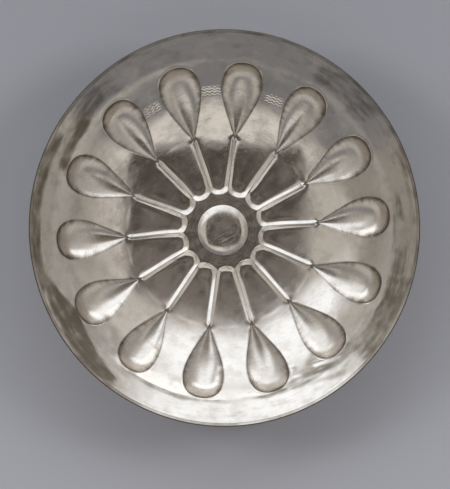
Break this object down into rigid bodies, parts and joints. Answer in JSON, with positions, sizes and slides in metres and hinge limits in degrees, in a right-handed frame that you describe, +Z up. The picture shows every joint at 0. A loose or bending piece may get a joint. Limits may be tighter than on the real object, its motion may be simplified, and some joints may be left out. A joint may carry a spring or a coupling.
{
  "type": "phiale",
  "caption": "Shallow lobed silver libation bowl with a domed centre, radial ribs, drop-shaped lobes and a plain rim.",
  "frame": {"origin": "centre of the bowl on the plane it rests on", "axes": "+Z up along the bowl's axis, out of its mouth; +Y towards the rib that is uppermost in the picture"},
  "size_m": [0.212, 0.212, 0.034],
  "materials": {
    "silver_sheet": "hammered silver, worn satin polish with brown-grey tarnish in the chased lines and near the rim",
    "silver_cap": "silver, worn polish with fine scratches",
    "silver_band": "silver, satin, rubbed along the edge"
  },
  "bodies": {
    "root": {"bowl": "silver_sheet", "omphalos": "silver_cap", "rim_band": "silver_band"}
  },
  "joints": []
}
